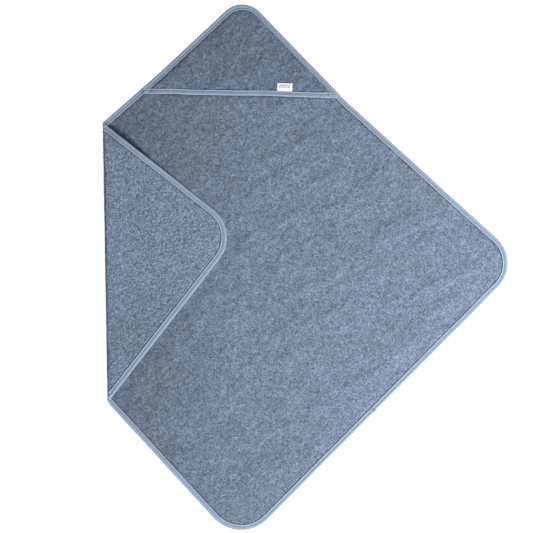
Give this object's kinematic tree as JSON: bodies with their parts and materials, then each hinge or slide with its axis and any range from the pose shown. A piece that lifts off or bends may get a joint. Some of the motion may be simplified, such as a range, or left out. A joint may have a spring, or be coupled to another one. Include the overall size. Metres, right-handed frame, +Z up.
{
  "type": "hooded baby towel",
  "caption": "Square terry towel with a hood over one corner and bound edges, lying flat with its left corner folded over.",
  "frame": {"origin": "centre of the lying towel's outline, on the surface that it lies on", "axes": "+X along the hood's hem, to the right; +Y up to the hood's tip; +Z up from the surface"},
  "size_m": [0.8225, 1.0669, 0.0077],
  "materials": {
    "terry": "dusty blue cotton terry, uncut loops",
    "terry_reverse": "dusty blue cotton terry, reverse side, in fine rows",
    "hood_terry": "dusty blue cotton terry, uncut loops",
    "tape": "smooth woven cotton bias tape, lighter blue",
    "thread": "blue sewing thread",
    "label": null
  },
  "bodies": {
    "towel_body": {"body_panel": "terry", "edge_binding": "tape", "edge_topstitch": "thread", "hood_sewn_edge": "hood_terry", "binding_join": "tape", "join_stitch": "thread"},
    "corner_flap": {"corner_panel": "terry_reverse", "corner_binding": "tape", "corner_topstitch": "thread"},
    "hood": {"hood_panel": "hood_terry", "hood_binding": "tape", "hood_topstitch": "thread"},
    "label": {"woven_label": "label"}
  },
  "joints": [
    {"name": "corner_fold", "type": "hinge", "parent": "towel_body", "child": "corner_flap", "pos_m": [-0.4014, 0, 0.005], "axis": [0.0175, -0.9998, 0], "range_deg": [0, 179]},
    {"name": "hood_lift", "type": "hinge", "parent": "towel_body", "child": "hood", "pos_m": [-0.1264, 0.5228, 0.0065], "axis": [-0.9997, 0.0227, 0], "range_deg": [0, 12]},
    {"name": "label_flip", "type": "hinge", "parent": "hood", "child": "label", "pos_m": [-0.04219, 0.35771, 0.00725], "axis": [0.9997, -0.0227, 0], "range_deg": [0, 150]}
  ]
}
